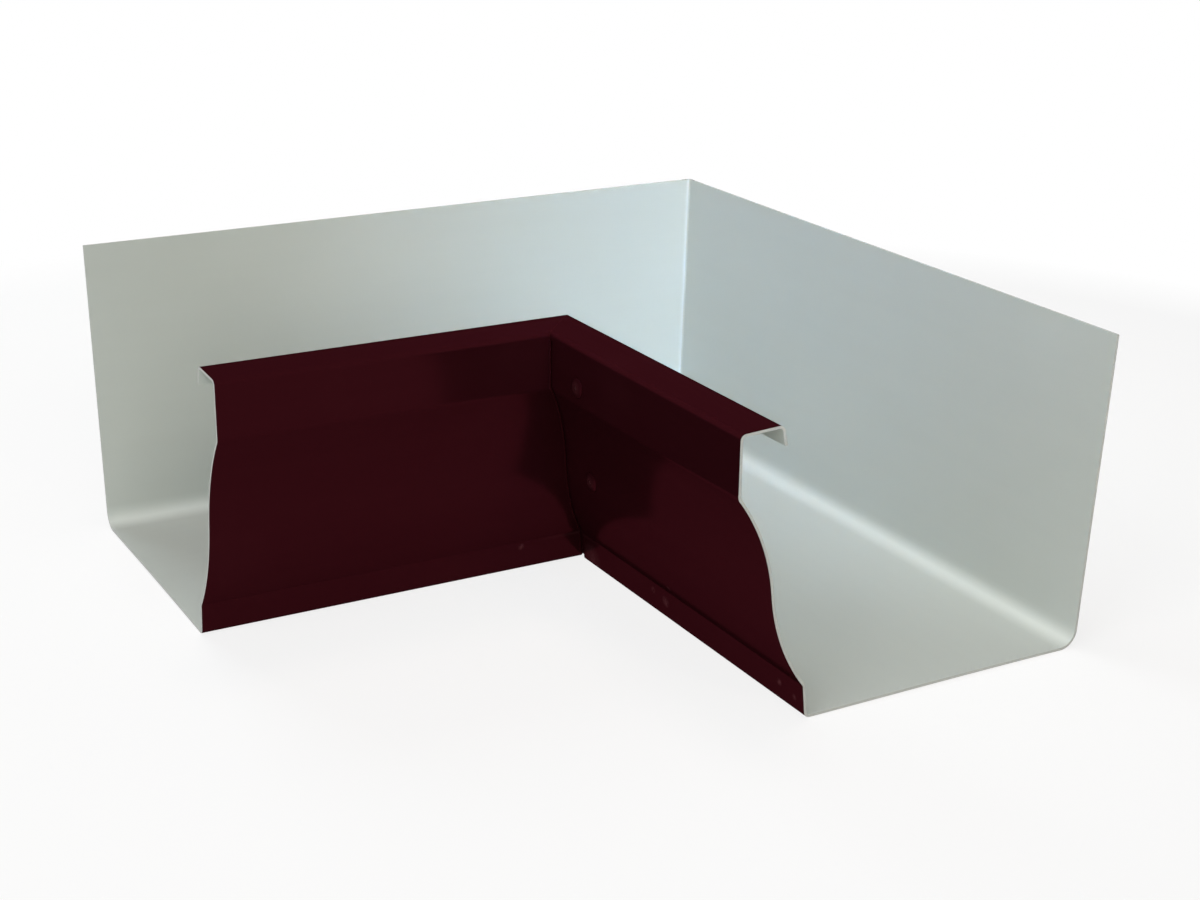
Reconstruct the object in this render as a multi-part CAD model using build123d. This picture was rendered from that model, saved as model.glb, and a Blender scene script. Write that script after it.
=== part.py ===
from build123d import *
from math import cos, radians, sin, sqrt, tan
import os

# Inside corner for an ogee-fronted eaves gutter, folded from one painted aluminium sheet.
# The tall back runs round the outer corner in one piece. The floor and the shaped front
# are notched and meet on the mitre, where a tab of the left leg laps inside the right leg.
# Two blind rivets hold the lap. Millimetres, +Z up, legs along -X and -Y from the corner.

# Sheet and legs
sheet = 0.8
leg_length = 235.0
back_height = 100.0
back_lean = 3.0
front_height = 90.0

# Widths out from the foot of the back
floor_width = 101.5
base_width = 102.6
face_width = 127.0

# Shaped front: a short base strip, a bulge, a cove and the upright face
base_height = 10.4
cove_top = 71.5
ogee_mid_angle = 6.0

# Lip and its turned-down hem
lip_width = 14.0
lip_rise = 3.0
hem_drop = 6.0
hem_lean = 12.0

# Radii inside the bends of the sheet, and of the two creases on its outside
floor_bend_inside = 5.2
fold_inside = 1.2
lip_bend_inside = 1.0
hem_bend_inside = 1.1
lap_bend_inside = 0.3
base_crease = 1.2
cove_crease_inside = 0.9

# Lap at the mitre, measured square to the mitre line
lap_width = 18.0
lap_gap = 0.1
lap_below_lip = 2.5
seam_reveal = 2.1
lip_seam = 0.1
joggle_width = 1.0
notch_start = 9.0

# Blind rivets through the right panel and the tab behind it
rivet_edge = 7.5
rivet_above_cove = 5.5
rivet_below_middle = 0.8
shank_diameter = 3.2
hole_clearance = 0.05
head_diameter = 6.4
head_height = 1.1
head_rim = 0.3
tail_diameter = 4.7
tail_seat_diameter = 4.2
tail_length = 3.4
pin_diameter = 1.75
pin_head_diameter = 3.1
pin_head_length = 1.7
pin_recess = 0.45

# Worked out from the sizes above. In the section u runs out from the back's foot, z runs up.
back_overhang = back_height * tan(radians(back_lean))
lip_inner_u = face_width - lip_width
lip_inner_z = front_height + lip_width * tan(radians(lip_rise))
hem_end_u = lip_inner_u - hem_drop * tan(radians(hem_lean))
hem_end_z = lip_inner_z - hem_drop
hem_clear_z = hem_end_z - sheet
mid_lip_along = (face_width + lip_inner_u) / 2 * sqrt(2)
lap_offset = sheet + lap_gap
lap_depth = lap_offset + sheet
lap_start = notch_start - seam_reveal
lap_top = front_height - lap_below_lip
notch_along = notch_start * sqrt(2)
rivet_from_mitre = lap_width * sqrt(2) - rivet_edge
centre_shift = (leg_length - back_overhang) / 2
beyond = 2 * (leg_length + face_width)
mitre_normal = Vector(1, -1, 0).normalized()

front_corners = [
    ((floor_width, 0), lap_depth + lap_bend_inside),
    ((base_width, base_height), base_crease),
    ((face_width, cove_top), lap_depth + cove_crease_inside),
]
back_corner = ((0, 0), floor_bend_inside + sheet)
lip_corners = [
    ((face_width, front_height), lip_bend_inside + sheet),
    ((lip_inner_u, lip_inner_z), hem_bend_inside + sheet),
]


def ogee():
    """The lower bulge and the upper cove, two equal arcs that meet at the middle."""
    low = Vector(base_width, base_height)
    high = Vector(face_width, cove_top)
    middle = (low + high) / 2
    slope = Vector(sin(radians(ogee_mid_angle)), cos(radians(ogee_mid_angle)))
    bulge = TangentArc(middle, low, tangent=-slope)
    cove = TangentArc(middle, high, tangent=slope)
    return bulge, cove


def front_outline(top):
    """Outside face from the floor, past the foot and up the front to the height given."""
    bulge, cove = ogee()
    floor = Line((lap_start, 0), (floor_width, 0))
    base = Line((floor_width, 0), (base_width, base_height))
    face = Line((face_width, cove_top), (face_width, top))
    return [floor, base, bulge, cove, face]


def bent(edges, corners):
    """The edges as one open line, with each corner bent to its own outside radius."""
    line = Wire(edges)
    for (u, z), radius in corners:
        corner = line.vertices().sort_by_distance((u, z, 0))[0]
        line = line.fillet_2d(radius, [corner])
    return line


def towards_channel(line, distance, closed):
    """Parallel line on the channel side, which is the shorter of the two sides."""
    sides = [line.offset_2d(distance, side=side, closed=closed) for side in (Side.LEFT, Side.RIGHT)]
    return min(sides, key=lambda side: side.length)


def sheet_section():
    """Whole section of the gutter, from the top of the back to the end of the hem."""
    back = Line((-back_overhang, back_height), (0, 0))
    floor = Line((0, 0), (lap_start, 0))
    lip = Line((face_width, front_height), (lip_inner_u, lip_inner_z))
    hem = Line((lip_inner_u, lip_inner_z), (hem_end_u, hem_end_z))
    edges = [back, floor] + front_outline(front_height) + [lip, hem]
    outside = bent(edges, [back_corner] + front_corners + lip_corners)
    return make_face(towards_channel(outside, sheet, closed=True))


def lap_section(start, thickness):
    """Section of the floor and front up to the lip, set in from the outside face."""
    line = bent(front_outline(lap_top), front_corners)
    if start > 0:
        line = towards_channel(line, start, closed=False)
    return make_face(towards_channel(line, thickness, closed=True))


def left_run(section):
    """A section drawn out along the left leg, from past the corner to the open end."""
    start = Plane(origin=(face_width, 0, 0), x_dir=(0, -1, 0), z_dir=(-1, 0, 0))
    return extrude(start * section, face_width + leg_length)


def swap_legs(shape):
    """The same shape on the other leg, across the mitre plane."""
    return mirror(shape, about=Plane(origin=(0, 0, 0), z_dir=mitre_normal))


def mitre_slab(near, far, along=-beyond, low=-beyond, high=beyond):
    """Block between two distances from the mitre plane, positive towards the right leg."""
    plane = Plane(origin=(0, 0, 0), x_dir=mitre_normal, z_dir=(0, 0, 1))
    block = Box(far - near, 2 * beyond, high - low, align=(Align.MIN, Align.MAX, Align.MIN))
    return plane * Pos(near, -along, low) * block


def fold_back(legs):
    """Round the back's vertical fold outside and inside, running out in the floor bend."""
    height = back_height * 3 / 4
    lean = back_overhang * 3 / 4
    inner = lean - sheet / cos(radians(back_lean))
    for place, radius in ((lean, fold_inside + sheet), (inner, fold_inside)):
        edge = legs.edges().filter_by(GeomType.LINE).sort_by_distance((place, place, height))[0]
        legs = legs.fillet(radius, [edge])
    return legs


def make_sheet():
    """Both legs, the folded back, the seam on the mitre and the tab that laps inside it."""
    left = left_run(sheet_section()) - mitre_slab(0, beyond)
    legs = fold_back(left + swap_legs(left))
    legs -= mitre_slab(0, seam_reveal, along=notch_along, high=hem_clear_z)
    legs -= mitre_slab(0, seam_reveal, along=mid_lip_along, low=hem_clear_z, high=lap_top)
    legs -= mitre_slab(0, lip_seam, along=notch_along, low=hem_clear_z)
    joggle = left_run(lap_section(0, lap_depth)) & mitre_slab(-joggle_width, 0)
    tab = swap_legs(left_run(lap_section(lap_offset, sheet))) & mitre_slab(0, lap_width)
    return legs + joggle + tab


def rivet_plane(u, z, slope):
    """Plane on the outside of the right panel, with its normal out of the panel."""
    point = (-u, -u - rivet_from_mitre, z)
    return Plane(origin=point, x_dir=(0, -1, 0), z_dir=(-slope.Y, 0, -slope.X))


def rivet_planes():
    """Where the rivets sit: above the cove, and just below the middle of the ogee."""
    bulge, cove = ogee()
    part_way = rivet_below_middle / bulge.length
    point = bulge @ part_way
    slope = -(bulge % part_way)
    return {
        "upper": rivet_plane(face_width, cove_top + rivet_above_cove, Vector(0, 1)),
        "lower": rivet_plane(point.X, point.Y, slope),
    }


def turned(edges):
    """Solid turned about Z from half of its outline, drawn as radius and height."""
    return revolve(Plane.XZ * make_face(edges), Axis.Z)


def rod(diameter, low, high):
    """Plain round bar along Z between two heights."""
    return Pos(0, 0, low) * Cylinder(diameter / 2, high - low, align=(Align.CENTER, Align.CENTER, Align.MIN))


def rivet_body():
    """Set blind rivet: low domed head, shank and the swollen tail behind the tab."""
    rim = head_diameter / 2
    crown = (0, head_height)
    head_base = Polyline(crown, (0, 0), (rim, 0), (rim, head_rim))
    head = turned([head_base, TangentArc(crown, (rim, head_rim), tangent=(1, 0))])
    shank = rod(shank_diameter, -lap_depth, head_height / 2)
    seat = -lap_depth
    end = seat - tail_length
    neck = shank_diameter / 2
    foot = tail_seat_diameter / 2
    swell = ThreePointArc((neck, end), (tail_diameter / 2, (seat + end) / 2), (foot, seat))
    tail = turned([Polyline((foot, seat), (0, seat), (0, end), (neck, end)), swell])
    bore = rod(pin_diameter + 2 * hole_clearance, 2 * end, 2 * head_height)
    return head + shank + tail - bore


def rivet_pin():
    """Broken-off pin, with its ball end drawn hard against the tail."""
    end = -lap_depth - tail_length
    stub = rod(pin_diameter, end, head_height - pin_recess)
    ball = rod(pin_head_diameter, end - pin_head_length, end)
    return stub + fillet(ball.edges().group_by(Axis.Z)[0], pin_head_length / 2)


def main():
    gutter = make_sheet()
    hole = rod(shank_diameter + 2 * hole_clearance, -2 * lap_depth, lap_depth)
    planes = rivet_planes()
    for plane in planes.values():
        gutter -= plane * hole
    pieces = {"gutter_sheet": gutter}
    for name, plane in planes.items():
        pieces[name + "_rivet"] = plane * rivet_body() - gutter
        pieces[name + "_rivet_pin"] = plane * rivet_pin()
    os.makedirs("parts", exist_ok=True)
    centred = Pos(centre_shift, centre_shift, 0)
    for name, piece in pieces.items():
        export_step(centred * piece, f"parts/{name}.step")
        print(name, round(piece.volume, 2), "mm3")


main()
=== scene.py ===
from math import cos, pi, radians, sin, sqrt, tan

import bpy
from mathutils import Matrix, Vector


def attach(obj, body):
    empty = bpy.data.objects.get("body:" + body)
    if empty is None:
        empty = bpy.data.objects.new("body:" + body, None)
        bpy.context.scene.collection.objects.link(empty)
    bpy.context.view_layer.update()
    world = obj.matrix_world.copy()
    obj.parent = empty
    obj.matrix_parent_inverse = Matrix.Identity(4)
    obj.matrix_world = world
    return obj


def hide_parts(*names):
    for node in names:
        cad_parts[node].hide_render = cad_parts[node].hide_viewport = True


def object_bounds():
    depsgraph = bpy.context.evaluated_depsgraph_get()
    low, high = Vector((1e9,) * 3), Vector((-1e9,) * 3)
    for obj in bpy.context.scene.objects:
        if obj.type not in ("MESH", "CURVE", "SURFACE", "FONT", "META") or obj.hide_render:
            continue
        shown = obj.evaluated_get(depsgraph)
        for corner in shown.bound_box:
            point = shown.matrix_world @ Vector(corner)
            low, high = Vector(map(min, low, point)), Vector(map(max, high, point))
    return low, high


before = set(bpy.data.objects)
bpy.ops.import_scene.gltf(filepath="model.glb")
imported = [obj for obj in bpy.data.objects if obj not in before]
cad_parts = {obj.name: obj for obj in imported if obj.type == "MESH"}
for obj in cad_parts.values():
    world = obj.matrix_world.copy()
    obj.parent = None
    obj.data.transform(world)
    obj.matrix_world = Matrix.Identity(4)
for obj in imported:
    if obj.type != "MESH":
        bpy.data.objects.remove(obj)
cad_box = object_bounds()

# The corner is seen from in front of its inner side, a little above it, with a short
# telephoto lens and the camera held slightly off level.
camera_place = Vector((-0.2902, -0.5354, 0.2655))
camera_turn = radians(-29.53)
camera_drop = radians(19.87)
camera_roll = radians(0.74)
camera_data = bpy.data.cameras.new("camera")
camera_data.lens = 59.83
camera_data.clip_start = 0.01
camera = bpy.data.objects.new("camera", camera_data)
turned = Matrix.Rotation(camera_turn, 4, "Z") @ Matrix.Rotation(pi / 2 - camera_drop, 4, "X")
turned = turned @ Matrix.Rotation(camera_roll, 4, "Z")
camera.matrix_world = Matrix.Translation(camera_place) @ turned
bpy.context.collection.objects.link(camera)
bpy.context.scene.camera = camera


# The folded sheet, laid out as its section. It is coil-coated aluminium, roll-formed into
# an ogee gutter: tall back, flat floor, base strip, bulge, cove, upright face, lip and hem.
# u runs out from the foot of the back and z runs up, both on the outside face.
sheet_thickness = 0.0008
leg_length = 0.235
back_height = 0.1
back_lean = radians(3.0)
front_height = 0.09
floor_width = 0.1015
base_width = 0.1026
face_width = 0.127
base_height = 0.0104
cove_top = 0.0715
ogee_mid_angle = radians(6.0)
lip_width = 0.014
lip_rise = radians(3.0)
hem_drop = 0.006
hem_lean = radians(12.0)
floor_bend = 0.006
foot_bend = 0.002
base_crease = 0.0012
cove_crease = 0.0026
lip_bend = 0.0018
hem_bend = 0.0019
flat_step = 0.004
bend_steps = 8
curve_steps = 14

# The lap at the mitre: where it starts in the floor, where it ends below the lip, and the
# short steps of the section on which the seam opens and closes.
lap_gap = 0.0001
lap_offset = sheet_thickness + lap_gap
lap_start = 0.0069
notch_start = 0.009
lap_below_lip = 0.0025
lap_top = front_height - lap_below_lip
step_length = 0.0003
hair = 0.00001


def bend(before, corner, after, radius):
    """Points round a bend of the sheet, from one straight run to the next."""
    into, out = (before - corner).normalized(), (after - corner).normalized()
    half = into.angle(out) / 2
    centre = corner + (into + out).normalized() * radius / sin(half)
    spoke = corner + into * radius / tan(half) - centre
    turn = (pi - 2 * half) * (-1 if into.cross(out) > 0 else 1)
    turns = [turn * step / bend_steps for step in range(bend_steps + 1)]
    return [centre + Matrix.Rotation(part, 2) @ spoke for part in turns]


def arc(start, slope, end):
    """Points along the one arc that leaves start on the slope given and reaches end."""
    turn = slope.angle_signed(end - start)
    radius = (end - start).length / (2 * sin(abs(turn)))
    points = []
    for step in range(1, curve_steps + 1):
        part = turn * step / curve_steps
        heading = Matrix.Rotation(-part, 2) @ slope
        points.append(start + heading * 2 * radius * sin(abs(part)))
    return points


def run(start, end):
    """Points between two bends, close enough together for the sheet to bow."""
    count = max(1, round((end - start).length / flat_step))
    return [start.lerp(end, step / count) for step in range(1, count)]


def section_outline():
    """The outside face of the section, from the top of the back to the end of the hem."""
    back_top = Vector((-back_height * tan(back_lean), back_height))
    heel = Vector((0.0, 0.0))
    foot = Vector((floor_width, 0.0))
    base = Vector((base_width, base_height))
    cove = Vector((face_width, cove_top))
    middle = (base + cove) / 2
    slope = Vector((sin(ogee_mid_angle), cos(ogee_mid_angle)))
    bulge = list(reversed(arc(middle, -slope, base)))[1:]
    rise = arc(middle, slope, cove)[:-1]
    brow = Vector((face_width, front_height))
    lip_edge = Vector((face_width - lip_width, front_height + lip_width * tan(lip_rise)))
    hem_end = lip_edge - Vector((hem_drop * tan(hem_lean), hem_drop))
    lap_ends = [Vector((u, 0.0)) for u in (lap_start, notch_start - step_length, notch_start)]
    face_stops = [Vector((face_width, lap_top + step * step_length)) for step in (-1, 0, 1)]

    heel_bend = bend(back_top, heel, foot, floor_bend)
    foot_points = bend(heel, foot, base, foot_bend)
    base_points = bend(foot, base, bulge[0], base_crease)
    cove_points = bend(rise[-1], cove, brow, cove_crease)
    brow_bend = bend(cove, brow, lip_edge, lip_bend)
    edge_bend = bend(brow, lip_edge, hem_end, hem_bend)
    outline = [back_top] + run(back_top, heel_bend[0]) + heel_bend + lap_ends
    outline += run(lap_ends[-1], foot_points[0]) + foot_points
    outline += run(foot_points[-1], base_points[0]) + base_points
    outline += bulge + [middle] + rise + cove_points
    outline += run(cove_points[-1], face_stops[0]) + face_stops + brow_bend
    outline += run(brow_bend[-1], edge_bend[0]) + edge_bend + [hem_end]
    return outline


def open_line(name, points):
    """Points in the x-z plane as a mesh of edges, joined one after the other."""
    line = bpy.data.meshes.new(name)
    pairs = [(n, n + 1) for n in range(len(points) - 1)]
    line.from_pydata([(across, 0, up) for across, up in points], pairs, [])
    return line


def section_line():
    """The section as a line of points that carry the way to the channel, and lap and seam."""
    points = section_outline()
    line = open_line("section", points)
    steps = [after - before for before, after in zip(points, points[1:])]
    inward = []
    for before, after in zip(steps[:1] + steps, steps + steps[-1:]):
        along = (before.normalized() + after.normalized()).normalized()
        inward += [-along.y, 0.0, along.x]
    on_face = [n for n, point in enumerate(points) if point.x > face_width - hair]
    top = max(n for n in on_face if points[n].y < lap_top + hair)
    notch = notch_start - step_length / 2
    laps = [float(point.x > lap_start - hair and n <= top) for n, point in enumerate(points)]
    opens = [float(point.x > notch and n < top) for n, point in enumerate(points)]
    girth = [sum(step.length for step in steps[:n]) for n in range(len(points))]
    slack = [0.0] * len(points)
    for n, point in enumerate(points):
        if point.x < 0:
            slack[n] = min(1.0, max(0.0, (point.y - floor_bend) / (back_height / 2)))
        elif point.x < floor_width and point.y < hair:
            part = (point.x - floor_bend) / (floor_width - 2 * floor_bend)
            slack[n] = max(0.0, sin(pi * part))
    line.attributes.new("inward", "FLOAT_VECTOR", "POINT").data.foreach_set("vector", inward)
    for name, values in (("laps", laps), ("opens", opens), ("girth", girth), ("slack", slack)):
        line.attributes.new(name, "FLOAT", "POINT").data.foreach_set("value", values)
    return line


class Strand:
    """One socket of a node tree. Arithmetic on it adds Math nodes; node adds any other."""

    def __init__(self, tree, socket=None):
        self.tree = tree
        self.socket = socket

    def node(self, kind, settings=None, values=None, out=0):
        """A node of the kind given: first its settings, then its sockets' values or links."""
        made = self.tree.nodes.new(kind)
        for name, value in (settings or {}).items():
            if name == "stops":
                self.set_stops(made.color_ramp, value)
            else:
                setattr(made, name, value)
        for name, value in (values or {}).items():
            place = made.inputs[name]
            if isinstance(value, Strand):
                self.tree.links.new(value.socket, place)
            else:
                place.default_value = value
        return Strand(self.tree, made.outputs[out])

    def set_stops(self, ramp, stops):
        """The places and colours of a ramp."""
        while len(ramp.elements) < len(stops):
            ramp.elements.new(1.0)
        for element, (place, colour) in zip(ramp.elements, stops):
            element.position = place
            element.color = colour

    def math(self, operation, *values):
        """A Math node on the values given."""
        return self.node("ShaderNodeMath", {"operation": operation}, dict(enumerate(values)))

    def part(self, name):
        """Another output of the same node."""
        return Strand(self.tree, self.socket.node.outputs[name])

    def across(self, axis="X"):
        """One axis of a vector."""
        return self.node("ShaderNodeSeparateXYZ", None, {0: self}).part(axis)

    def __add__(self, other):
        return self.math("ADD", self, other)

    __radd__ = __add__

    def __sub__(self, other):
        return self.math("SUBTRACT", self, other)

    def __rsub__(self, other):
        return self.math("SUBTRACT", other, self)

    def __mul__(self, other):
        return self.math("MULTIPLY", self, other)

    __rmul__ = __mul__

    def __truediv__(self, other):
        return self.math("DIVIDE", self, other)

    def __rtruediv__(self, other):
        return self.math("DIVIDE", other, self)

    def above(self, edge):
        """1 where this is greater than the edge, and 0 elsewhere."""
        return self.math("GREATER_THAN", self, edge)

    def clamped(self):
        """Held between 0 and 1."""
        return self.math("MAXIMUM", self, 0.0).math_with("MINIMUM", 1.0)

    def math_with(self, operation, *values):
        """A Math node on this and the values given."""
        return self.math(operation, self, *values)


def sharpened(noise, low, high):
    """The part of a noise between two levels, spread over 0 to 1."""
    return ((noise - low) / (high - low)).clamped()


# Both legs and the tab, in columns from the mitre to the open end. The broad flats of the
# sheet bow a little, clear of the corner.
fold_radius = 0.002
seam_reveal = 0.0021
lap_width = 0.018
leg_columns = 90
lap_columns = 14
bow_height = 0.00030
bow_length = 0.11
bow_clear = 0.015
bow_full = 0.045
leg_apart = 3.0
no_fold = 1e-7
weld = 2e-6
row_nudge = 0.001
lowest = cad_box[0]
foot_corner = Vector((lowest.x + leg_length, lowest.y + leg_length, 0.0))

leg_inputs = {
    "Section": "NodeSocketGeometry",
    "Leg length": leg_length,
    "Floor bend": floor_bend,
    "Fold radius": fold_radius,
    "Notch start": notch_start,
    "Seam": seam_reveal * sqrt(2),
    "Lap offset": lap_offset,
    "Lap length": lap_width * sqrt(2),
    "Bow height": bow_height,
    "Bow length": bow_length,
    "Foot corner": foot_corner,
    "Coat": "NodeSocketMaterial",
}


def new_tree(name, inputs):
    """An empty Geometry Nodes tree with named inputs and one geometry output."""
    tree = bpy.data.node_groups.new(name, "GeometryNodeTree")
    kinds = {float: "NodeSocketFloat", int: "NodeSocketInt", Vector: "NodeSocketVector"}
    for label, value in inputs.items():
        kind = value if isinstance(value, str) else kinds[type(value)]
        socket = tree.interface.new_socket(label, in_out="INPUT", socket_type=kind)
        if not isinstance(value, str):
            socket.default_value = value
    tree.interface.new_socket("Geometry", in_out="OUTPUT", socket_type="NodeSocketGeometry")
    start = tree.nodes.new("NodeGroupInput")
    return tree, {label: Strand(tree, start.outputs[label]) for label in inputs}


def close_tree(tree, shape, material):
    """End a tree with its material and with nothing left as an instance."""
    solid = shape.node("GeometryNodeRealizeInstances", None, {"Geometry": shape})
    coated = solid.node("GeometryNodeSetMaterial", None, {"Geometry": solid, "Material": material})
    end = tree.nodes.new("NodeGroupOutput")
    tree.links.new(coated.socket, end.inputs["Geometry"])


def row_grid(line, columns):
    """A grid with a row for each point of a line, and the row and column of each corner."""
    count = line.node("GeometryNodeAttributeDomainSize", {"component": "MESH"}, {"Geometry": line})
    sides = {"Vertices X": count.part("Point Count"), "Vertices Y": columns}
    grid = line.node("GeometryNodeMeshGrid", None, sides)
    index = line.node("GeometryNodeInputIndex")
    row = (index / columns + row_nudge).math_with("FLOOR")
    return grid, row, index - row * columns


def carried(line, row, name=None, kind="FLOAT"):
    """What a line carries at the row given: a value by its name, or else its place."""
    if name:
        value = line.node("GeometryNodeInputNamedAttribute", {"data_type": kind}, {"Name": name})
    else:
        kind = "FLOAT_VECTOR"
        value = line.node("GeometryNodeInputPosition")
    settings = {"data_type": kind, "domain": "POINT"}
    sample = {"Geometry": line, "Value": value, "Index": row}
    return line.node("GeometryNodeSampleIndex", settings, sample)


def marked(grid, name, value, kind):
    """A grid that keeps a value of each of its points under a name, for the finishes."""
    settings = {"data_type": kind, "domain": "POINT"}
    stored = {"Geometry": grid, "Name": name, "Value": value}
    return grid.node("GeometryNodeStoreNamedAttribute", settings, stored)


def moved(place, way, distance):
    """A place moved along a direction."""
    scaled = {0: way, "Scale": distance}
    shift = place.node("ShaderNodeVectorMath", {"operation": "SCALE"}, scaled)
    return place.node("ShaderNodeVectorMath", {"operation": "ADD"}, {0: place, 1: shift})


def sheet_tree():
    """Both legs drawn out from the section to the mitre, and the tab that laps past it."""
    tree, given = new_tree("gutter_sheet", leg_inputs)
    line = given["Section"]

    def strip(columns, right, lap):
        """One grid of the sheet, with a row for each point of the section."""
        grid, row, column = row_grid(line, columns)
        place = carried(line, row)
        inward = carried(line, row, "inward", "FLOAT_VECTOR")
        girth = carried(line, row, "girth")
        on_front = place.across().above(given["Notch start"] - step_length / 2)
        if lap:
            past = given["Lap length"] * (column - 1.0).math_with("MAXIMUM", 0.0) / (columns - 2.0)
            lift = given["Lap offset"] * column.above(0.5).math_with("MAXIMUM", 1 - on_front)
            place = moved(place, inward, lift)
        u, z = place.across(), place.across("Z")
        if not lap:
            gap = 0.0
            if right:
                gap = carried(line, row, "opens") * given["Seam"]
            left_over = 1 - column / (columns - 1.0)
            past = gap + (given["Leg length"] - u - gap) * left_over * left_over
            spread = {"X": u + past, "Y": girth, "Z": leg_apart * right}
            flat = line.node("ShaderNodeCombineXYZ", None, spread)
            waves = {"Vector": flat, "Scale": 1 / given["Bow length"], "Detail": 0.0}
            wave = line.node("ShaderNodeTexNoise", None, waves)
            slack = carried(line, row, "slack") * sharpened(past, bow_clear, bow_full)
            place = moved(place, inward, given["Bow height"] * slack * sharpened(wave, 0.3, 0.7))
            z = place.across("Z")
        runs_out = (z / given["Floor bend"]).clamped().math_with("SQRT")
        fold = given["Fold radius"] * runs_out * (1 - on_front)
        fold = fold.math_with("MAXIMUM", no_fold)
        turn = (1 - past / fold).clamped() * (pi / 4)
        along = u + fold + (past - fold).math_with("MAXIMUM", 0.0) - fold * turn.math_with("SINE")
        across = place.across() + fold - fold * turn.math_with("COSINE")
        x, y = (across, along) if right else (along, across)
        folded = line.node("ShaderNodeCombineXYZ", None, {"X": -1.0 * x, "Y": -1.0 * y, "Z": z})
        spot = moved(folded, given["Foot corner"], 1.0)
        leg = {"X": past, "Y": girth, "Z": float(right)}
        unrolled = line.node("ShaderNodeCombineXYZ", None, leg)
        kept = marked(grid, "unrolled", unrolled, "FLOAT_VECTOR")
        placed = line.node("GeometryNodeSetPosition", None, {"Geometry": kept, "Position": spot})
        if lap:
            unneeded = (0.5 - carried(line, row, "laps")).above(0.0)
            cut = {"Geometry": placed, "Selection": unneeded}
            placed = line.node("GeometryNodeDeleteGeometry", {"domain": "POINT"}, cut)
        if right == lap:
            placed = line.node("GeometryNodeFlipFaces", None, {"Mesh": placed})
        return placed

    strips = [
        strip(leg_columns, right=False, lap=False),
        strip(leg_columns, right=True, lap=False),
        strip(lap_columns, right=True, lap=True),
    ]
    join = tree.nodes.new("GeometryNodeJoinGeometry")
    for piece in reversed(strips):
        tree.links.new(piece.socket, join.inputs[0])
    joined = Strand(tree, join.outputs[0])
    close = {"Geometry": joined, "Distance": weld}
    close_tree(tree, line.node("GeometryNodeMergeByDistance", None, close), given["Coat"])
    return tree


def plain(maker, name):
    """The finished shape of an object as a plain mesh object, which takes its place."""
    graph = bpy.context.evaluated_depsgraph_get()
    mesh = bpy.data.meshes.new_from_object(maker.evaluated_get(graph), depsgraph=graph)
    mesh.name = name
    bpy.data.objects.remove(maker)
    made = bpy.data.objects.new(name, mesh)
    bpy.context.collection.objects.link(made)
    return made


def grown(name, base, tree, values):
    """A plain piece made by a tree from a base mesh and the values of its inputs."""
    seed = bpy.data.objects.new(name + "_seed", base)
    bpy.context.collection.objects.link(seed)
    modifier = seed.modifiers.new(name, "NODES")
    modifier.node_group = tree
    for item in tree.interface.items_tree:
        if item.in_out == "INPUT" and item.name in values:
            modifier[item.identifier] = values[item.name]
    made = plain(seed, name)
    made.data.materials.clear()
    made.data.materials.append(values["Coat"])
    return made


def new_finish(name):
    """A material with an empty tree, its principled shader and the place on the piece."""
    finish = bpy.data.materials.new(name)
    finish.use_nodes = True
    finish.node_tree.nodes.clear()
    end = finish.node_tree.nodes.new("ShaderNodeOutputMaterial")
    shader = finish.node_tree.nodes.new("ShaderNodeBsdfPrincipled")
    finish.node_tree.links.new(shader.outputs[0], end.inputs["Surface"])
    return finish, shader, Strand(finish.node_tree).node("ShaderNodeTexCoord").part("Object")


def kept_value(place, name, output):
    """A value that the mesh keeps under a name."""
    return place.node("ShaderNodeAttribute", {"attribute_name": name}).part(output)


def feed(shader, name, strand):
    """Lead a strand into one of the shader's sockets."""
    strand.tree.links.new(strand.socket, shader.inputs[name])


def blend(amount, first, second):
    """A colour between two, by an amount from 0 to 1."""
    return amount.node("ShaderNodeMix", {"data_type": "RGBA"}, {0: amount, 6: first, 7: second}, 2)


def speckle(place, scale, detail, stretch=(1, 1, 1)):
    """Soft noise from 0 to 1, as long and as wide as the stretch makes it."""
    drawn = place.node("ShaderNodeMapping", None, {"Vector": place, "Scale": stretch})
    noise = {"Vector": drawn, "Scale": scale, "Detail": detail}
    return place.node("ShaderNodeTexNoise", None, noise)


def raise_surface(shader, height, depth):
    """Fine relief, with its full height in metres."""
    values = {"Height": height, "Distance": depth, "Strength": 1.0}
    feed(shader, "Normal", height.node("ShaderNodeBump", None, values))


def laid_over(finish, shader, share, layer):
    """Let a layer take its share of what the surface shows."""
    base = Strand(finish.node_tree, shader.outputs[0])
    mixed = base.node("ShaderNodeMixShader", None, {0: share, 1: base, 2: layer})
    end = finish.node_tree.nodes["Material Output"]
    finish.node_tree.links.new(mixed.socket, end.inputs["Surface"])


def add_sheen(finish, shader, share, roughness):
    """A reflection in the coat's own red, as strong as the share of it given."""
    values = {"Color": sheen_red, "Roughness": roughness}
    gloss = Strand(finish.node_tree).node("ShaderNodeBsdfGlossy", None, values)
    laid_over(finish, shader, share, gloss)


def near(place, spot, reach):
    """1 at a spot, falling to 0 at the reach from it."""
    ends = {0: place, 1: spot}
    distance = place.node("ShaderNodeVectorMath", {"operation": "DISTANCE"}, ends, "Value")
    return (1 - distance / reach).clamped()


def band(value, middle, reach):
    """1 where a value is at the middle of a band, falling to 0 at the reach from it."""
    return (1 - (value - middle).math_with("ABSOLUTE") / reach).clamped()


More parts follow.
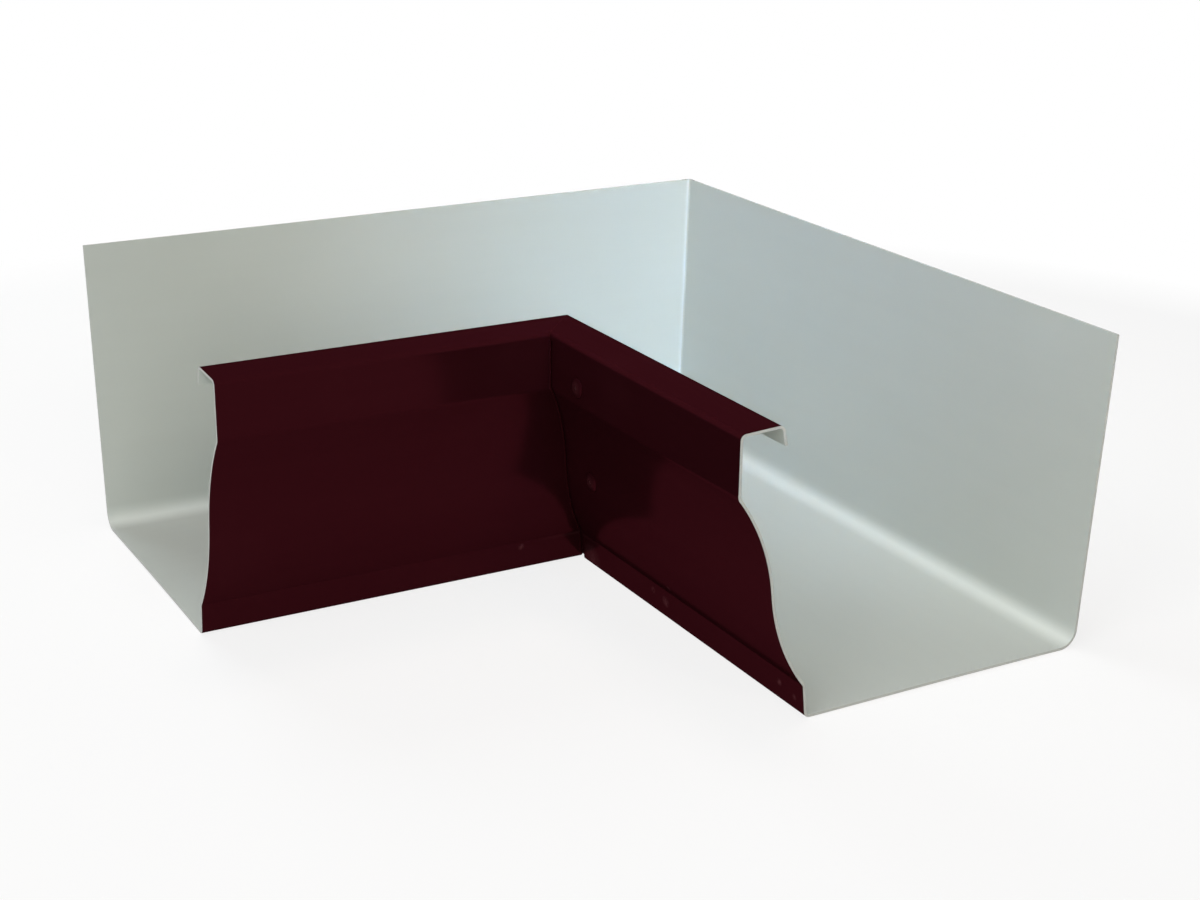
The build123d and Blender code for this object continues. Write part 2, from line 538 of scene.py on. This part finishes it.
# The maroon coat outside, with painted highlights along the crease by the inner corner and on
# the sunken step of the seam, and lighter spots at the foot of the corner and on the base
# strip, each a place and its reach. Marks are counted per metre.
maroon = (0.0175, 0.0024, 0.0038, 1)
maroon_rubbed = (0.0300, 0.0056, 0.0076, 1)
# Painted light for the sunken step at the seam.
step_painted_light = (0.0750, 0.0120, 0.0170, 1)
maroon_roughness = 0.34
roll_marks = 40.0
roll_drawn = (0.25, 3.0, 1.0)
hand_marks = 24.0
grit_marks = 900.0
peel_marks = 1500.0
peel_depth = 0.000006
sheen_share = 0.062
sheen_red = (0.235, 0.026, 0.042, 1)
sheen_roughness = 0.15
# The lighter maroon of the painted highlight and of the lighter spots.
highlight_and_spot_colour = (0.074, 0.026, 0.030, 1)
crease_height = 0.0098
crease_highlight_width = 0.0007
crease_highlight = 0.25
inner_corner = Vector((0.0127, 0.0127, 0.0090))
corner_highlight_reach = 0.018
foot_spot = Vector((0.0132, 0.0042, 0.0028))
foot_spot_reach = 0.0062
foot_spot_strength = 0.75
light_spot_strength = 1.3
light_spots = [
    (Vector((0.0126, -0.0440, 0.0063)), 0.0022),
    (Vector((0.0126, -0.0365, 0.0075)), 0.0013),
    (Vector((0.0099, -0.0504, 0.0142)), 0.0012),
    (Vector((0.0126, -0.1078, 0.0063)), 0.0014),
    (Vector((0.0128, -0.1154, 0.0048)), 0.0012),
    (Vector((-0.0096, 0.0125, 0.0085)), 0.0014),
]
notch_girth = 0.1070
step_light_reach = 0.00005


def maroon_coat():
    """Baked polyester paint: even maroon, a weak sheen of its own colour, painted highlights,
    lighter spots.
    """
    finish, shader, place = new_finish("maroon_coat")
    unrolled = kept_value(place, "unrolled", "Vector")
    rolled = speckle(unrolled, roll_marks, 3.0, roll_drawn)
    handled = sharpened(speckle(place, hand_marks, 4.0), 0.58, 0.78)
    painted = blend(handled * 0.25 + (rolled - 0.5) * 0.3 + 0.1, maroon, maroon_rubbed)
    # Painted highlight: a lighter band along the crease above the base strip, near the inner
    # corner.
    crease_highlight_band = band(place.across("Z"), crease_height, crease_highlight_width) * crease_highlight
    highlight_and_spots = near(place, inner_corner, corner_highlight_reach) * crease_highlight_band
    grit = sharpened(speckle(place, grit_marks, 3.0), 0.30, 0.60)
    # Lighter spots at the foot of the corner and on the base strip.
    foot = near(place, foot_spot, foot_spot_reach) * (0.4 + grit * 0.6) * foot_spot_strength
    highlight_and_spots = highlight_and_spots.math_with("MAXIMUM", foot)
    for spot, reach in light_spots:
        highlight_and_spots = highlight_and_spots.math_with("MAXIMUM", near(place, spot, reach) * grit * light_spot_strength)
    # Painted light: the sunken step of the tab at the seam, which lies in shade, is coloured
    # lighter.
    tab = unrolled.across("Z").above(0.5) * unrolled.across("Y").above(notch_girth)
    step = tab * (step_light_reach - unrolled.across()).above(0.0)
    painted = blend(step, painted, step_painted_light)
    feed(shader, "Base Color", blend(highlight_and_spots.clamped(), painted, highlight_and_spot_colour))
    rubbed = (rolled - 0.5) * 0.10 + handled * 0.10 + highlight_and_spots * 0.1
    feed(shader, "Roughness", maroon_roughness + rubbed)
    shader.inputs["Specular IOR Level"].default_value = 0.0
    raise_surface(shader, speckle(place, peel_marks, 1.0), peel_depth)
    add_sheen(finish, shader, sheen_share, sheen_roughness)
    return finish


# The grey wash inside, with a painted highlight along the bend between back and floor,
# and another along the fold of the back.
wash_grey = (0.472, 0.506, 0.480, 1)
wash_pale = (0.514, 0.551, 0.525, 1)
wash_heel_highlight = (0.670, 0.716, 0.688, 1)
wash_fold_highlight = (0.590, 0.640, 0.670, 1)
wash_roughness = 0.36
wash_marks = 60.0
wash_drawn = (0.2, 3.0, 1.0)
mottle_marks = 30.0
wash_grain = 900.0
wash_depth = 0.000008
heel_girth = 0.0990
heel_reach = 0.0062
heel_highlight_share = 0.8
fold_highlight_reach = 0.0024


def wash_coat():
    """Thin grey wash on the channel side: slightly mottled, drawn out along the roll."""
    finish, shader, place = new_finish("wash_coat")
    unrolled = kept_value(place, "unrolled", "Vector")
    rolled = speckle(unrolled, wash_marks, 4.0, wash_drawn)
    mottled = speckle(place, mottle_marks, 3.0)
    washed = blend(mottled * 0.6 + rolled * 0.4, wash_grey, wash_pale)
    # A painted highlight along the bend between back and floor.
    heel = band(unrolled.across("Y"), heel_girth, heel_reach) * heel_highlight_share
    washed = blend(heel, washed, wash_heel_highlight)
    # A painted highlight along the fold of the back, on the left leg.
    left = (0.5 - unrolled.across("Z")).above(0.0)
    folded = (1 - unrolled.across() / fold_highlight_reach).clamped() * left
    feed(shader, "Base Color", blend(folded, washed, wash_fold_highlight))
    feed(shader, "Roughness", wash_roughness + (mottled - 0.5) * 0.16)
    shader.inputs["Specular IOR Level"].default_value = 0.5
    raise_surface(shader, speckle(place, wash_grain, 2.0), wash_depth)
    return finish


# The cut edges, bare but for the paint touched in beside the seam.
edge_dark = (0.330, 0.340, 0.320, 1)
edge_light = (0.480, 0.490, 0.470, 1)
edge_roughness = 0.38
edge_metallic = 0.2
drag_marks = 2600.0
drag_depth = 0.00001
touch_reach = 0.004


def cut_edge():
    """Sheared edge of the sheet: bare metal with the drag of the blade, touched in at the seam."""
    finish, shader, place = new_finish("cut_edge")
    unrolled = kept_value(place, "unrolled", "Vector")
    drag = speckle(place, drag_marks, 2.0)
    bare = blend(drag, edge_dark, edge_light)
    off_floor = place.across("Z").above(2 * sheet_thickness)
    touched = (touch_reach - unrolled.across()).above(0.0) * off_floor
    feed(shader, "Base Color", blend(touched, bare, maroon))
    feed(shader, "Roughness", edge_roughness + (drag - 0.5) * 0.2)
    feed(shader, "Metallic", edge_metallic * (1 - touched))
    raise_surface(shader, drag, drag_depth)
    return finish


sharp_from = radians(32)


def smoothed(piece):
    """Smooth shading that keeps the edges sharp where the shape turns by more than a bend."""
    piece.data.shade_smooth()
    piece.data.set_sharp_from_angle(angle=sharp_from)


def plated(skin, name, thickness, finishes):
    """The skin as a sheet of its real thickness: outside face, channel face and cut edge."""
    for finish in finishes[1:]:
        skin.data.materials.append(finish)
    wall = skin.modifiers.new("thickness", "SOLIDIFY")
    wall.thickness = thickness
    wall.offset = -1.0
    wall.use_even_offset = True
    wall.use_quality_normals = True
    wall.material_offset = 1
    wall.material_offset_rim = 2
    made = plain(skin, name)
    smoothed(made)
    return made


coat = maroon_coat()
skin = grown("gutter_sheet_skin", section_line(), sheet_tree(), {"Coat": coat})
gutter = plated(skin, "folded_gutter", sheet_thickness, [coat, wash_coat(), cut_edge()])
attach(gutter, "root")
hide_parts("gutter_sheet")


# The rivets: two painted aluminium blind rivets, set from outside through the right panel
# and the tab behind it. Each is turned round its axis: a low domed head, the shank, the tail
# that swelled behind the tab, and in its bore the pin, snapped off just below the dome.
rivet_edge = 0.0075
rivet_from_mitre = lap_width * sqrt(2) - rivet_edge
rivet_above_cove = 0.0055
rivet_below_middle = 0.0008
lap_depth = lap_offset + sheet_thickness
head_radius = 0.0032
head_height = 0.0011
head_rim = 0.0003
shank_radius = 0.0016
tail_radius = 0.00235
tail_seat = 0.0021
tail_length = 0.0034
tail_end = -lap_depth - tail_length
pin_radius = 0.000875
pin_clearance = 0.00005
bore_radius = pin_radius + pin_clearance
pin_recess = 0.00045
pin_neck_radius = 0.7 * pin_radius
pin_neck_drop = 0.00004
pin_shoulder_drop = 0.0002
pin_ball_radius = 0.00155
pin_ball_length = 0.0017
turning_steps = 49
dome_steps = 7
turned_weld = 1e-6
maroon_rivet = (0.0175, 0.0026, 0.0040, 1)
# The painted highlight on each crown, and how far it reaches.
rivet_crown_highlight = (0.0520, 0.0125, 0.0155, 1)
crown_highlight_reach = 0.0027
chip_marks = 700.0
rivet_roughness = 0.30
rivet_sheen = 0.8
rivet_sheen_roughness = 0.2
rivet_grain = 1800.0
rivet_depth = 0.00001
pin_dark = (0.036, 0.009, 0.011, 1)
pin_light = (0.058, 0.018, 0.020, 1)
pin_roughness = 0.45
pin_grain = 3200.0
pin_depth = 0.00002
bare_metal = (0.560, 0.570, 0.565, 1)
bare_metallic = 0.8


def rivet_outline():
    """Half of the rivet's section as radius and height, closed round the bore."""
    dome_rise = head_height - head_rim
    dome_radius = (head_radius ** 2 + dome_rise ** 2) / (2 * dome_rise)
    points = []
    for step in range(dome_steps + 1):
        radius = bore_radius + (head_radius - bore_radius) * step / dome_steps
        points.append((radius, head_height - dome_radius + sqrt(dome_radius ** 2 - radius ** 2)))
    points += [(head_radius, 0.0), (shank_radius, 0.0)]
    points += [(shank_radius, -lap_depth), (tail_seat, -lap_depth)]
    for step in range(1, dome_steps + 1):
        part = step / dome_steps
        chord = tail_seat + (shank_radius - tail_seat) * part
        belly = (tail_radius - (tail_seat + shank_radius) / 2) * sin(pi * part)
        points.append((chord + belly, -lap_depth + (tail_end + lap_depth) * part))
    return points + [(bore_radius, tail_end), points[0]]


def pin_outline():
    """Half of the pin's section: a necked break, the straight wire and the ball."""
    top = head_height - pin_recess
    corner = pin_ball_length / 2
    points = [(0.0, top), (pin_neck_radius, top - pin_neck_drop)]
    points += [(pin_radius, top - pin_shoulder_drop), (pin_radius, tail_end)]
    points += [(pin_ball_radius, tail_end)]
    for step in range(dome_steps + 1):
        turn = pi / 2 * step / dome_steps
        radius = pin_ball_radius - corner + corner * cos(turn)
        points.append((radius, tail_end - pin_ball_length + corner - corner * sin(turn)))
    return points + [(0.0, tail_end - pin_ball_length)]


def turned_tree():
    """An outline turned round its axis and set in its place."""
    inputs = {
        "Outline": "NodeSocketGeometry",
        "Steps": turning_steps,
        "Place": Vector(),
        "Turn": Vector(),
        "Coat": "NodeSocketMaterial",
    }
    tree, given = new_tree("turned_part", inputs)
    line = given["Outline"]
    grid, row, column = row_grid(line, given["Steps"])
    turn = column / (given["Steps"] - 1.0) * (2 * pi)
    drawn = carried(line, row)
    radius, height = drawn.across(), drawn.across("Z")
    round_axis = {"X": radius * turn.math_with("COSINE"), "Y": radius * turn.math_with("SINE")}
    spot = line.node("ShaderNodeCombineXYZ", None, round_axis | {"Z": height})
    kept = marked(grid, "height", height, "FLOAT")
    shape = line.node("GeometryNodeSetPosition", None, {"Geometry": kept, "Position": spot})
    close = {"Geometry": shape, "Distance": turned_weld}
    shape = line.node("GeometryNodeMergeByDistance", None, close)
    settled = {"Geometry": shape, "Translation": given["Place"], "Rotation": given["Turn"]}
    close_tree(tree, line.node("GeometryNodeTransform", None, settled), given["Coat"])
    return tree


def rivet_place(u, z, slope):
    """Where a rivet sits on the outside of the right panel, and the turn that faces it out."""
    place = foot_corner + Vector((-u, -u - rivet_from_mitre, z))
    out = Vector((-slope.y, 0, -slope.x))
    first = Vector((0, -1, 0))
    return place, Matrix((first, out.cross(first), out)).transposed().to_euler()


def rivet_places():
    """Above the cove, and just below the middle of the ogee."""
    base = Vector((base_width, base_height))
    middle = (base + Vector((face_width, cove_top))) / 2
    slope = Vector((sin(ogee_mid_angle), cos(ogee_mid_angle)))
    half_turn = (-slope).angle_signed(base - middle)
    radius = (base - middle).length / (2 * sin(abs(half_turn)))
    part = rivet_below_middle / (2 * radius) * (1 if half_turn > 0 else -1)
    chord = Matrix.Rotation(-part, 2) @ -slope * 2 * radius * sin(abs(part))
    heading = Matrix.Rotation(-2 * part, 2) @ slope
    lower = middle + chord
    return {
        "upper": rivet_place(face_width, cove_top + rivet_above_cove, Vector((0, 1))),
        "lower": rivet_place(lower.x, lower.y, heading),
    }


def behind_head(place):
    """1 on what sits behind the face of the panel and so has no paint, 0 in front of it."""
    return (-head_rim - kept_value(place, "height", "Fac")).above(0.0)


def rivet_paint(crowns):
    """The sheet's maroon on the heads, lighter chips, a painted highlight on each crown, bare
    metal behind.
    """
    finish, shader, place = new_finish("rivet_paint")
    chipped = sharpened(speckle(place, chip_marks, 3.0), 0.60, 0.75)
    highlight_and_spots = chipped * 0.3
    # A painted highlight on the crown of each head.
    for crown in crowns:
        highlight_and_spots = highlight_and_spots.math_with("MAXIMUM", near(place, crown, crown_highlight_reach))
    bare = behind_head(place)
    painted = blend(highlight_and_spots, maroon_rivet, rivet_crown_highlight)
    feed(shader, "Base Color", blend(bare, painted, bare_metal))
    feed(shader, "Roughness", rivet_roughness + chipped * 0.2)
    feed(shader, "Metallic", bare * bare_metallic)
    shader.inputs["Specular IOR Level"].default_value = 0.0
    raise_surface(shader, speckle(place, rivet_grain, 1.0), rivet_depth)
    add_sheen(finish, shader, rivet_sheen * sheen_share, rivet_sheen_roughness)
    return finish


def pin_metal():
    """Snapped aluminium wire: paint on its rough broken end, bare and drawn behind it."""
    finish, shader, place = new_finish("pin_metal")
    grain = speckle(place, pin_grain, 3.0)
    bare = behind_head(place)
    feed(shader, "Base Color", blend(bare, blend(grain, pin_dark, pin_light), bare_metal))
    feed(shader, "Roughness", pin_roughness + grain * 0.3)
    feed(shader, "Metallic", bare * bare_metallic)
    shader.inputs["Specular IOR Level"].default_value = 0.1
    raise_surface(shader, grain, pin_depth)
    return finish


turning = turned_tree()
places = rivet_places()
crowns = [place for place, turn in places.values()]
rivet_line = open_line("rivet_outline", rivet_outline())
pin_line = open_line("pin_outline", pin_outline())
turned_parts = {
    "rivet": (rivet_line, rivet_paint(crowns), "painted_rivet"),
    "rivet_pin": (pin_line, pin_metal(), "rivet_pin"),
}
for level, (place, turn) in places.items():
    for part, (outline, finish, slot) in turned_parts.items():
        values = {"Coat": finish, "Place": place, "Turn": Vector(turn)}
        piece = grown("turned_" + level + "_" + part, outline, turning, values)
        smoothed(piece)
        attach(piece, "root")
        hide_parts(level + "_" + part)


# The studio: matt white paper that keeps the shadow, white all round, and six soft boxes.
# The key and the corner lamp are narrow and brighten the back walls beside the fold, and
# the other four light the whole piece from the left, the front, above and behind.
floor_size = 12.0
floor_drop = 0.0001
paper_dull = (0.94, 0.94, 0.94, 1)
paper_bright = (0.96, 0.96, 0.96, 1)
fibre_marks = 220.0
paper_near = 0.18
paper_far = 0.5
paper_veil = 0.8
white = (1, 1, 1, 1)
room_strength = 0.15


def seen_directly(strand):
    """1 where the camera, or a reflection in the coat, looks at the studio itself."""
    rays = strand.node("ShaderNodeLightPath")
    mirrored = rays.part("Is Glossy Ray").math_with("MAXIMUM", rays.part("Is Transmission Ray"))
    return rays.part("Is Camera Ray").math_with("MAXIMUM", mirrored)


def floor_paper():
    """Matt white paper under the corner, which fades into the white backdrop."""
    finish, shader, place = new_finish("floor_paper")
    fibre = speckle(place, fibre_marks, 3.0)
    feed(shader, "Base Color", blend(fibre, paper_dull, paper_bright))
    shader.inputs["Roughness"].default_value = 0.9
    shader.inputs["Specular IOR Level"].default_value = 0.1
    distance = place.node("ShaderNodeVectorMath", {"operation": "LENGTH"}, {0: place}, "Value")
    far_off = sharpened(distance, paper_near, paper_far).math_with("MAXIMUM", paper_veil)
    fade = seen_directly(place) * far_off
    glow = place.node("ShaderNodeEmission", None, {"Color": white, "Strength": 1.0})
    laid_over(finish, shader, fade, glow)
    return finish


half = floor_size / 2
corners = [(x * half, y * half, -floor_drop) for x, y in ((-1, -1), (1, -1), (1, 1), (-1, 1))]
floor_mesh = bpy.data.meshes.new("floor")
floor_mesh.from_pydata(corners, [], [(0, 1, 2, 3)])
floor_mesh.materials.append(floor_paper())
floor = bpy.data.objects.new("floor", floor_mesh)
bpy.context.collection.objects.link(floor)

world = bpy.data.worlds.new("studio")
world.use_nodes = True
world.node_tree.nodes.clear()
sky = Strand(world.node_tree)
room = sky.node("ShaderNodeBackground", None, {"Color": white, "Strength": room_strength})
backdrop = sky.node("ShaderNodeBackground", None, {"Color": white, "Strength": 1.0})
mixed = sky.node("ShaderNodeMixShader", None, {0: seen_directly(sky), 1: room, 2: backdrop})
world_end = world.node_tree.nodes.new("ShaderNodeOutputWorld")
world.node_tree.links.new(mixed.socket, world_end.inputs["Surface"])
bpy.context.scene.world = world


def lamp(name, place, aim, size, power, spread, colour, mirrored=True):
    """A square soft box that faces its aim. It may be left out of the coat's reflections."""
    data = bpy.data.lights.new(name, "AREA")
    data.size = size
    data.spread = radians(spread)
    data.energy = power
    data.color = colour
    box = bpy.data.objects.new(name, data)
    box.location = place
    box.rotation_euler = (Vector(aim) - Vector(place)).to_track_quat("-Z", "Y").to_euler()
    box.visible_glossy = mirrored
    bpy.context.collection.objects.link(box)


# Place, aim, size in metres, power in watts, spread in degrees and colour of each. The last
# two stay out of the coat's reflections.
lamp("key", (0.10, -0.70, 0.56), (0.12, 0.12, 0.065), 0.2, 0.115, 28, (1.0, 0.88, 0.72))
lamp("corner", (-0.05, -0.62, 0.62), (0.12, 0.12, 0.04), 0.15, 0.072, 18, (0.36, 0.63, 1.0))
lamp("fill", (-1.10, -0.50, 1.15), (0.0, 0.0, 0.05), 0.8, 10.1, 180, (0.96, 0.94, 0.96))
lamp("front", (-0.45, -1.10, 0.45), (0.0, 0.0, 0.05), 0.6, 5.1, 180, (1.0, 0.98, 0.86))
lamp("top", (0.05, 0.12, 1.20), (0.0, 0.0, 0.0), 0.30, 2.1, 180, (1.0, 0.82, 0.74),
     mirrored=False)
lamp("rim", (-0.15, 0.88, 0.87), (0.1, -0.05, 0.0), 0.55, 5.1, 180, (0.83, 0.95, 1.0),
     mirrored=False)

bpy.context.scene.view_settings.view_transform = "Standard"
